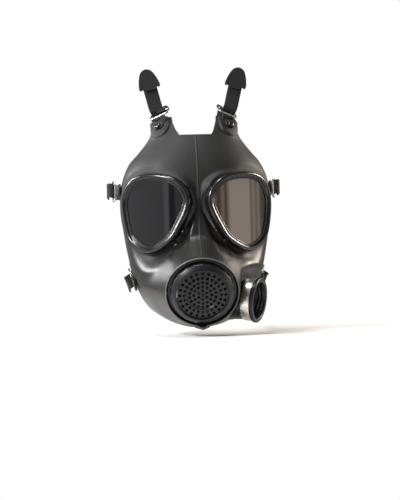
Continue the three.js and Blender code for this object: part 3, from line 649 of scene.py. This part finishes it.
# Lenses. Each is one sheet of dark hard-coated plastic, 2.2 mm thick, bent about an upright line and
# held all round in its rim.
def on_lens(s, z):
    upright = z[:, None] * np.array([0, 0, 1])
    return lens_place + s[:, None] * lens_along + lens_bulge(s)[:, None] * lens_out + upright


def lens_sheet(a, b):
    """The lens outline filled with columns that run from its lower edge to its upper one."""
    low, high = lens_edge[:, 0].min() + 0.05, lens_edge[:, 0].max() - 0.05
    s = low + (high - low) * (1 - np.cos(math.pi * a)) / 2
    tops, floors = np.full(len(s), -99.0), np.full(len(s), 99.0)
    for (x, z), (next_x, next_z) in zip(lens_edge, np.roll(lens_edge, -1, 0)):
        met = (x > s) != (next_x > s)
        run = next_x - x if abs(next_x - x) > 1e-9 else 1e-9
        level = z + (s - x) / run * (next_z - z)
        tops = np.where(met, np.maximum(tops, level), tops)
        floors = np.where(met, np.minimum(floors, level), floors)
    return on_lens(s, floors + (tops - floors) * b)


glass = finish(
    "dark_lens",
    lambda s: s.mix(s.noise(60), (0.007, 0.007, 0.0075), (0.011, 0.011, 0.012)),
    lambda s: 0.03 + 0.02 * s.noise(12),
    lambda s: s.noise(30, 0.0),
    depth=0.01,
    IOR=1.58,
)
bm = laid_grid(56, 28, lens_sheet)
bmesh.ops.remove_doubles(bm, verts=bm.verts, dist=1e-4)
bmesh.ops.solidify(bm, geom=bm.faces[:], thickness=2.2)
finish_pair("dark_lens", bm, glass, "lens", "lens", sharp=50)

# Eye rims. Glossy black mouldings that clamp each lens to the rubber. A broad roll falls steeply to a
# thin flat lip over the edge of the lens, which is wider on the side of the nose.
def swept(places, ups, section, closed=False):
    """The section carried along the places, upright along ups, with lids where the run has ends."""
    places, ups, section = np.asarray(places, float), np.asarray(ups, float), np.asarray(section, float)
    along = np.roll(places, -1, 0) - np.roll(places, 1, 0) if closed else np.gradient(places, axis=0)
    wide = np.cross(along, ups)
    wide /= np.linalg.norm(wide, axis=1)[:, None]
    face = np.cross(wide, along)
    face /= np.linalg.norm(face, axis=1)[:, None]
    count, sides = len(places), len(section)
    columns = count if closed else count - 1
    line = np.vstack([places, places[:1]])
    far = np.concatenate([[0], np.cumsum(np.linalg.norm(np.diff(line, axis=0), axis=1))])
    bm = bmesh.new()
    bmesh.ops.create_grid(bm, x_segments=columns, y_segments=sides, size=1)
    cloth = bm.loops.layers.uv.new("along")
    stops = {v: (round((v.co.x + 1) / 2 * columns), round((v.co.y + 1) / 2 * sides)) for v in bm.verts}
    for square in bm.faces:
        for corner in square.loops:
            i, j = stops[corner.vert]
            corner[cloth].uv = (far[i] / 1000, section[j % sides][0] / 1000)
    for vert, (i, j) in stops.items():
        i, j = i % count, j % sides
        vert.co = places[i] + section[j][0] * wide[i] + section[j][1] * face[i]
    bmesh.ops.remove_doubles(bm, verts=bm.verts, dist=1e-4)
    bmesh.ops.holes_fill(bm, edges=[e for e in bm.edges if e.is_boundary], sides=0)
    bmesh.ops.recalc_face_normals(bm, faces=bm.faces)
    return bm


rim_places = on_lens(lens_edge[:, 0], lens_edge[:, 1])
rim_ups = lens_out - lens_slope(lens_edge[:, 0])[:, None] * lens_along
lip_spread = 1.8
gloss = finish(
    "glossy_black",
    lambda s: s.mix(s.noise(15), (0.007, 0.0068, 0.0065), (0.011, 0.0105, 0.01)),
    lambda s: 0.19 + 0.08 * s.noise(9),
    lambda s: s.noise(6),
    depth=0.03,
    Specular_IOR_Level=0.9,
)
bm = swept(rim_places, rim_ups, [
    (7, -6), (7, 0.2), (6.9, 1.4), (6.5, 2.5), (5.8, 3.4), (4.9, 3.9), (3.9, 4.1), (3, 3.8), (2.4, 3.2),
    (2, 2.4), (1.8, 1.6), (1.5, 1.1), (0.9, 0.9), (0.2, 0.9), (-0.3, 0.8), (-0.6, 0.5), (-0.6, 0.3),
    (1.4, 0.2), (1.4, -6),
], closed=True)
spots = np.array([v.co for v in bm.verts])
s, _ = from_lens(spots)
far, way = beyond_glass(s, spots[:, 2])
spread = lip_spread * np.clip(-way[:, 0], 0, 1) ** 2 * np.clip((2.6 - far) / 3.2, 0, 1)
for vert, shift in zip(bm.verts, spread[:, None] * way):
    vert.co -= Vector(shift[0] * lens_along + np.array([0, 0, shift[1]]))
finish_pair("lens_rim", bm, gloss, "rim", "eye_rim", sharp=60)

# Exhale valve. A moulded flange sits in the rubber collar, a gripped cup turns into it, and a domed
# perforated disc closes the cup over a thin rubber flap.
plastic = finish(
    "black_plastic",
    lambda s: s.mix(s.noise(20), (0.0075, 0.008, 0.0105), (0.012, 0.0125, 0.017)),
    lambda s: 0.3 + 0.1 * s.noise(5),
    lambda s: s.noise(0.8),
    depth=0.03,
)
bm = turned([
    (29, -9), (36.5, -9), (36.5, -2.4), (36, -1.4), (35, -1), (32.4, -1), (32.4, -2), (29, -2),
], 144)
finish_piece("outlet_flange", aim(bm, valve_place, valve_axis), plastic, "valve", "valve_flange", bevel=0.3)

grip_count = 24
grip_height = 0.5
bm = turned([
    (26.8, -1.7), (32, -1.7), (32, -0.6), (32.5, -0.4), (32.6, 1), (32.6, 5.4), (32.3, 6), (31.3, 7.1),
    (30.1, 8.3), (29, 9.3), (28.2, 9.9), (27.6, 10.1), (27, 9.8), (26.8, 9), (26.7, 7.6), (26.8, 5),
], 10 * grip_count)
for vert in bm.verts:
    r = math.hypot(vert.co.x, vert.co.y)
    if r > 32.4:
        grip = max(math.cos(grip_count * math.atan2(vert.co.y, vert.co.x)), 0) ** 6
        vert.co += Vector((vert.co.x, vert.co.y, 0)) / r * grip_height * grip
finish_piece("outlet_cup", aim(bm, valve_place, valve_axis), plastic, "valve", "valve_cup", sharp=50)

# the disc: its holes in five rings, the three inner ones on a floor one step down
hole_width = 3.2
disc_r = 27
step_r = 16.1
hole_rings = (
    # inner edge, outer edge, middle of the holes, number of holes
    (2.6, 6.8, 4.6, 6),
    (7, 11.3, 9.2, 12),
    (11.5, 15.8, 13.6, 18),
    (16.4, 21.2, 18.9, 24),
    (21.4, 26.4, 23.6, 24),
)


def pierced_ring(bm, inner, outer, middle, count):
    """A flat ring with one round hole in each of its equal sectors."""
    for i in range(count):
        edge = bmesh.ops.create_circle(bm, segments=16, radius=1)["verts"]
        hole = bmesh.ops.create_circle(bm, segments=16, radius=0.5)["verts"]
        lines = {e for v in edge + hole for e in v.link_edges}
        bmesh.ops.bridge_loops(bm, edges=list(lines))
        for vert in edge:
            x, y, _ = vert.co / max(abs(vert.co.x), abs(vert.co.y))
            turn = 2 * math.pi * (i + x / 2) / count
            r = inner + (outer - inner) * (1 + y) / 2
            vert.co = (r * math.sin(turn), r * math.cos(turn), 0)
        turn = 2 * math.pi * i / count
        for vert in hole:
            vert.co = Matrix.Rotation(-turn, 3, "Z") @ (vert.co * hole_width + Vector((0, middle, 0)))


bm = bmesh.new()
for radius in (2.4, hole_width / 2):
    bmesh.ops.create_circle(bm, segments=24, radius=radius)
bmesh.ops.bridge_loops(bm, edges=bm.edges[:])
for ring in hole_rings:
    pierced_ring(bm, *ring)
bmesh.ops.remove_doubles(bm, verts=bm.verts, dist=0.01)
for joint in (2.5, 6.9, 11.4, step_r, 21.3):
    gap = [e for e in bm.edges if e.is_boundary and all(abs(v.co.length - joint) < 0.4 for v in e.verts)]
    bmesh.ops.bridge_loops(bm, edges=gap)
bmesh.ops.recalc_face_normals(bm, faces=bm.faces)
if bm.faces[:][0].normal.z < 0:
    bmesh.ops.reverse_faces(bm, faces=bm.faces)
for vert in bm.verts:
    r = math.hypot(vert.co.x, vert.co.y)
    vert.co.z = 7.8 + 2 * (1 - (r / disc_r) ** 2) - (1 if r < step_r else 0)
bmesh.ops.solidify(bm, geom=bm.faces[:], thickness=1.6)
disc = aim(bm, valve_place, valve_axis)
finish_piece("outlet_disc", disc, plastic, "valve", "valve_grille", sharp=30, bevel=0.25)
flap = turned([(0, 4), (26, 3.6), (26, 4.2), (0, 4.8)])
finish_piece("outlet_flap", aim(flap, valve_place, valve_axis), rubber, "rubber")

# Filter port. A threaded plastic socket is pushed into the rubber neck, and a polished steel band
# clamps the neck round it.
bm = turned([
    (20.2, -4), (23, -4), (23.6, -3.5), (23.75, -2.6), (23.75, -1.4), (23.5, -0.6), (22.8, 0), (20.4, 0),
    (19.6, -0.3), (19.2, -1), (19.2, -1.5), (18.4, -3.1), (19.2, -4.7), (19.2, -5.5), (18.4, -7.1),
    (19.2, -8.7), (19.2, -9.5), (18.4, -11.1), (19.2, -12.7), (18.4, -15), (18.4, -17), (20.2, -17),
])
finish_piece("filter_socket", aim(bm, port_mouth, port_axis), plastic, "socket", "port_socket", sharp=50)
steel = finish(
    "polished_steel",
    lambda s: s.mix(s.noise(8), (0.78, 0.75, 0.68), (0.86, 0.83, 0.77)),
    lambda s: 0.25 + 0.12 * s.noise(4) * s.noise(0.8),
    lambda s: s.noise(3),
    depth=0.04,
    Metallic=1.0,
)
bm = turned([(21.75, -13.8), (22.5, -13.8), (22.6, -13.4), (22.6, -5), (22.5, -4.6), (21.75, -4.6)])
finish_piece("steel_clamp", aim(bm, port_mouth, port_axis), steel, "steel", "port_clamp_band", bevel=0.15)

# Harness. Six straps of ribbed webbing, each threaded through a steel wire loop on a rubber tab, run
# to a pad behind the head. The free tails of the two upper ones stand up.
head_form = np.array([82, 101, 114])
head_centre = np.array([0, 0, 10])
strap_width = 15
tab_width = 13
loop_corner = (8.8, 4.4)
loop_bend = 1.6


def on_head(way, lift):
    way = way / np.linalg.norm(way)
    return way * (head_form + lift) + head_centre


def over_head(start, end, lift, count=12):
    """Places along the shortest way over the head form."""
    a, b = ((q - head_centre) / head_form for q in (start, end))
    a, b = a / np.linalg.norm(a), b / np.linalg.norm(b)
    angle = math.acos(np.clip(a @ b, -1, 1))
    shares = np.linspace(0, 1, count)
    return [on_head(math.sin((1 - t) * angle) * a + math.sin(t * angle) * b, lift) for t in shares]


def band_section(width, thickness, corner):
    """A flat rectangle with rounded long edges, as places across and through the band."""
    places = []
    for turn in range(4):
        for k in range(4):
            a = math.pi / 2 * (turn + k / 3)
            x = width / 2 - corner if turn in (0, 3) else corner - width / 2
            y = thickness / 2 - corner if turn in (0, 1) else corner - thickness / 2
            places.append((x + corner * math.cos(a), y + corner * math.sin(a)))
        if turn in (0, 2):
            sign = 1 if turn == 0 else -1
            places += [(sign * width * share, sign * thickness / 2) for share in (0.25, 0, -0.25)]
    return places


def unit(v):
    v = np.asarray(v, float)
    return v / np.linalg.norm(v)


def woven(s):
    """Ribs across the webbing every 2.2 mm, with its fine threads, and the crease of the tail's fold. As
    the colour it paints shade, darker in the grooves and along the crease.
    """
    along, across, _ = s.parts(s.node("ShaderNodeUVMap", {"uv_map": "along"}))
    rib = (along * (2 * math.pi / 0.0022)).sine() * 0.5 + 0.5
    thread = (across * (2 * math.pi / 0.0009)).sine() * 0.5 + 0.5
    crease = s.steps((along * 1000 - 27).size(), (0.3, 0.0), (0.9, 1.0))
    return (rib * 0.75 + rib * thread * 0.25) * crease


webbing = finish(
    "ribbed_webbing",
    # painted shade: the colour is darkest in the grooves between the ribs and along the crease
    lambda s: s.mix(woven(s) * (0.7 + 0.3 * s.noise(6)), (0.006, 0.006, 0.006), (0.03, 0.029, 0.028)),
    lambda s: 0.72 + 0.15 * s.noise(1.5),
    woven,
    depth=0.35,
)
strap_ends = {
    # the loop's bar, the ways back and out from it, the tab's root on the face, where the strap meets
    # the pad, and the places and facing of the free tail
    "top": dict(
        bar=(37.3, -50, 105.8), back=(-0.15, 0.88, 0.44), out=(0.46, -0.33, 0.815),
        root=((0.715, 0.106), (0.73, 0.084), (0.745, 0.035)), end=(20, 44),
        tail=(
            ((39.6, -44, 113), (0, 1, -0.1)),
            ((43.4, -41.5, 127), (0, 1, -0.05)),
            ((46, -40.6, 137.2), (0, 1, 0)))),
    "temple": dict(
        bar=(86, -13, 28), back=(0.22, 0.975, 0), out=(0.975, -0.22, 0),
        root=((0.88, 0.368), (0.93, 0.368), (0.985, 0.368)), end=(30, 20),
        tail=(
            ((92, -7, 29.5), (0.3, 1, 0)),
            ((94.6, 2, 29), (-0.9, 0.5, 0)),
            ((93.6, 13, 27), (-1, -0.1, 0)))),
    "jaw": dict(
        bar=(69.5, -17, -70), back=(0.12, 0.92, 0.36), out=(0.93, -0.05, -0.35),
        root=((0.87, 0.752), (0.925, 0.745), (0.98, 0.738)), end=(28, -4),
        tail=(
            ((74, -12.5, -71), (0.3, 1, 0.2)),
            ((75.8, -4, -73), (-0.9, 0.5, 0.2)),
            ((74, 6, -76), (-1, -0.1, 0.1)))),
}
for name, e in strap_ends.items():
    front, behind = np.array(e["bar"], float), unit(e["back"])
    away = np.array(e["out"], float)
    away = unit(away - (away @ behind) * behind)
    wide = unit(np.cross(behind, away))
    middle = front + 6 * behind

    # loop of round wire
    corners = []
    for turn, (x, y) in enumerate(((1, 1), (-1, 1), (-1, -1), (1, -1))):
        for k in range(5):
            a = math.pi / 2 * (turn + k / 4)
            across = x * loop_corner[0] + loop_bend * math.cos(a)
            corners.append(middle + across * wide + (y * loop_corner[1] + loop_bend * math.sin(a)) * behind)
    wire = [(math.cos(a), math.sin(a)) for a in np.linspace(0, 2 * math.pi, 12, endpoint=False)]
    run, _ = evenly(np.array(corners), 64, closed=True)
    loop = swept(run, np.tile(np.cross(wide, behind), (64, 1)), wire, closed=True)
    finish_pair(name + "_wire_loop", loop, steel, "steel", name + "_buckle")

    # tab with a rounded end, bonded to the face
    root = np.array(e["root"])
    faces = face_out(root[:, 0], root[:, 1])
    places = face_at(root[:, 0], root[:, 1]) + 2.2 * faces
    reach = front - places[-1]
    reach = unit(reach - (reach @ wide) * wide)
    tab_end = front - 1.8 * reach
    tab_face = np.cross(wide, reach)
    tab_face *= np.sign(tab_face @ faces[-1])
    places = np.vstack([places, tab_end - 2.5 * reach, tab_end])
    faces = np.vstack([faces, tab_face, tab_face])
    run, at = evenly(smooth_run(places), 32)
    turned_faces = smooth_run(faces)
    looks = np.stack([np.interp(at, np.arange(len(turned_faces)), q) for q in turned_faces.T], 1)
    tongue = swept(run, looks, band_section(tab_width, 2, 0.6))
    ahead = unit(run[1] - run[0])
    side = unit(np.cross(ahead, looks[0]))
    for vert in tongue.verts:
        off = np.array(vert.co) - run[0]
        if np.linalg.norm(off) < 12:
            narrow = 1 - math.sqrt(1 - min(max(6 - off @ ahead, 0) / 6.4, 1) ** 2)
            vert.co -= Vector(narrow * (off @ side) * side)
    finish_pair(name + "_rubber_tab", tongue, rubber, "rubber", name + "_tab")
    if name == "top":
        stud_place, stud_face = places[1] + 1.1 * faces[1], faces[1]

    # strap from its free tail through the loop and over the head
    tail = [(np.array(p, float), np.array(f, float)) for p, f in e["tail"]][::-1]
    entry = front + 12 * behind - 2.5 * away
    end_x, end_z = e["end"]
    end_y = head_form[1] * math.sqrt(1 - (end_x / head_form[0]) ** 2)
    head = over_head(entry + 12 * behind, np.array([end_x, end_y, end_z]), 3.1)
    places = [p for p, _ in tail] + [middle, entry] + head
    looks = [unit(f) for _, f in tail] + [unit(away + behind), away]
    looks += [unit((p - head_centre) / head_form**2) for p in head]
    run, at = evenly(smooth_run(places), 150)
    faces = smooth_run(looks)
    looks = np.stack([np.interp(at, np.arange(len(faces)), q) for q in faces.T], 1)
    if name != "top":
        curl = np.cross(wide, np.gradient(run, axis=0))
        curl /= np.linalg.norm(curl, axis=1)[:, None]
        looks = np.where(at[:, None] < 24 * len(tail), curl, looks)
    strap = swept(run, looks, band_section(strap_width, 1.6, 0.6))
    finish_pair(name + "_webbing", strap, webbing, "webbing", name + "_strap")

# Horn studs. A domed button of glossy black plastic is pressed through each upper tab into the horn.
# It is turned in one piece and stands a little over 2 mm proud of the rubber.
bm = turned([(0, 0), (3.6, 0), (3.6, 0.9), (3.3, 1.4), (2.6, 2), (1.4, 2.3), (0, 2.4)], 48)
finish_pair("horn_stud", aim(bm, stud_place, stud_face), gloss, "stud", "top_stud")

# Spade ends. Each upper tail ends in a moulded tip of dull black rubber, 4.6 mm thick, with a pointed
# top, two barbs and a short tongue in front of the webbing that it is moulded onto.
tip_thickness = 4.6
tip_rubber = finish(
    "tip_rubber",
    lambda s: s.mix(s.noise(10), (0.012, 0.012, 0.0115), (0.02, 0.0198, 0.019)),
    lambda s: 0.5 + 0.12 * s.noise(4),
    lambda s: s.noise(0.6),
    depth=0.05,
)
bm = bmesh.new()
half = [
    (5.2, -3.6), (6.9, -1.8), (8.4, -0.6), (10.2, -1.6), (11.5, 0.2), (10.9, 5), (9, 11.5), (5.6, 17.6),
]
outline = smooth_run([(-x, y) for x, y in half] + [(0, 20)] + half[::-1], steps=5)
rim = [bm.verts.new((x, y, -tip_thickness / 2)) for x, y in outline]
bm.faces.new(rim)
made = bmesh.ops.extrude_face_region(bm, geom=bm.faces[:])["geom"]
lid = [v for v in made if isinstance(v, bmesh.types.BMVert)]
bmesh.ops.translate(bm, verts=lid, vec=(0, 0, tip_thickness))
bmesh.ops.recalc_face_normals(bm, faces=bm.faces)
last, before = (np.array(strap_ends["top"]["tail"][k][0], float) for k in (2, 1))
up = unit(last - before)
face = np.array([0, -1.0, 0])
across = unit(np.cross(up, face))
depth = np.cross(across, up)
axes = Matrix((across, up, depth)).transposed().to_4x4()
seat = Matrix.Translation(Vector(last + 0.3 * up))
bmesh.ops.transform(bm, verts=bm.verts, matrix=seat @ axes)
finish_pair("spade_end", bm, tip_rubber, "tip", "top_tip", bevel=1.1)


# Rear pad. A rounded square of sheet rubber, 2 mm thick, lies behind the head, and all six straps
# end on it. It is bent to the head form and its edge is rounded.
pad_half_width = 44
pad_half_height = 36


def pad_sheet(a, b):
    y = (2 * b - 1) * 0.999
    reach = (1 - np.abs(y) ** 4) ** 0.25
    x = (2 * a - 1) * reach * pad_half_width / head_form[0]
    way = np.stack([x, np.sqrt(1 - x**2), (head_centre[2] + y * pad_half_height) / head_form[2]], 1)
    way /= np.linalg.norm(way, axis=1)[:, None]
    return way * (head_form + 2) + head_centre


bm = laid_grid(48, 48, pad_sheet)
bmesh.ops.remove_doubles(bm, verts=bm.verts, dist=1e-3)
bmesh.ops.reverse_faces(bm, faces=bm.faces)
bmesh.ops.solidify(bm, geom=bm.faces[:], thickness=2)
bmesh.ops.recalc_face_normals(bm, faces=bm.faces)
finish_piece("rear_pad", bm, rubber, "pad", "head_pad", bevel=0.5)

# Studio. A round pale floor just under the chin fades into a white surround. Soft lights stand high on
# the left, low on both sides and overhead, and tall panels stand where the lenses mirror them.
floor_radius = 0.65
floor_height = -0.128


def floor_edge(s):
    x, y, _ = s.parts(s.place())
    return s.steps((x * x + y * y).root(), (0.12, 1.0), (0.4, 0.0))


bm = bmesh.new()
bmesh.ops.create_circle(bm, cap_ends=True, segments=96, radius=floor_radius)
bmesh.ops.translate(bm, verts=bm.verts, vec=(0, 0, floor_height))
mesh = bpy.data.meshes.new("floor")
bm.to_mesh(mesh)
bm.free()
mesh.materials.append(finish(
    "pale_floor",
    lambda s: s.mix(s.noise(90), (0.9, 0.9, 0.9), (0.93, 0.93, 0.93)),
    0.8,
    alpha=floor_edge,
))
floor = bpy.data.objects.new("floor", mesh)
bpy.context.scene.collection.objects.link(floor)


def soft_light(name, azimuth, height, distance, size, power, colour=(1, 1, 1)):
    lamp = bpy.data.lights.new(name, "AREA")
    lamp.shape = "RECTANGLE"
    lamp.size, lamp.size_y = size
    lamp.energy = power
    lamp.color = colour
    light = bpy.data.objects.new(name, lamp)
    bpy.context.scene.collection.objects.link(light)
    a, e = math.radians(azimuth), math.radians(height)
    place = Vector((math.sin(a) * math.cos(e), -math.cos(a) * math.cos(e), math.sin(e))) * distance
    light.matrix_world = Matrix.Translation(place) @ place.to_track_quat("Z", "Y").to_matrix().to_4x4()


soft_light("key_left", -58, 34, 1.5, (0.3, 0.25), 18)
soft_light("side_left", -112, 20, 1.5, (0.3, 0.5), 18)
soft_light("warm_right", 108, 20, 1.4, (0.4, 0.5), 18, (1, 0.9, 0.78))
soft_light("overhead", -50, 76, 1.5, (0.3, 0.2), 8)

world = bpy.data.worlds.new("studio")
world.use_nodes = True
room = Shade(world.node_tree)
east, north, high = room.parts(room.place("Generated"))
turn = room.math("ARCTAN2", east, 0 - north) / math.pi * 180
across_front = (turn + 120) / 240
panel_stops = (
    # azimuth and colour: a grey wall and a bright strip on the left, warm strips on the right
    (-112, (0.5, 0.5, 0.52)), (-63, (0.5, 0.5, 0.52)), (-62, (0.9, 0.92, 0.95)),
    (-58, (0.9, 0.92, 0.95)), (-57, (0.06, 0.06, 0.07)), (-52, (0.06, 0.06, 0.07)),
    (-51, (0.4, 0.4, 0.42)), (-45, (0.36, 0.36, 0.38)), (-44, (0.08, 0.08, 0.08)),
    (44, (0.1, 0.08, 0.07)), (50, (0.55, 0.36, 0.28)), (54, (0.15, 0.1, 0.08)),
    (58, (0.6, 0.45, 0.36)), (61, (0.2, 0.15, 0.12)), (66, (0.95, 0.8, 0.68)),
    (88, (0.8, 0.68, 0.57)), (90, (0.35, 0.3, 0.25)), (94, (0.6, 0.5, 0.42)),
    (97, (0.3, 0.26, 0.22)), (100, (0.5, 0.43, 0.36)), (104, (0.18, 0.15, 0.12)),
    (112, (0.08, 0.07, 0.06)),
)
panels = room.steps(across_front, *[((azimuth + 120) / 240, shade) for azimuth, shade in panel_stops])
level = room.steps(high.size(), (0.04, 1.0), (0.1, 0.0))
bright = room.steps(across_front, (0.55, 1.0), (0.62, 4.0))
side_glow = room.steps(
    high * 0.5 + 0.5,
    (0.1, 0.0), (0.2, 0.4), (0.44, 0.4), (0.54, 1.0), (0.6, 1.0), (0.66, 0.4), (0.88, 0.4), (0.95, 0.0),
)
side_glow = side_glow * room.steps(across_front, (0.18, 0.0), (0.22, 1.0), (0.33, 1.0), (0.37, 0.0))
glow = room.mix(level, room.mix(side_glow, (0.14, 0.14, 0.145), (1.7, 1.68, 1.6)), panels)
seen = room.node("ShaderNodeLightPath", output="Is Camera Ray")
ground = world.node_tree.nodes["Background"]
world.node_tree.links.new(room.mix(seen, glow, (1.0, 1.0, 1.0)).socket, ground.inputs["Color"])
strength = room.mix(seen, room.mix(level, (1.0, 1.0, 1.0), bright), (1.0, 1.0, 1.0))
world.node_tree.links.new(strength.socket, ground.inputs["Strength"])
bpy.context.scene.world = world
bpy.context.scene.view_settings.view_transform = "Standard"
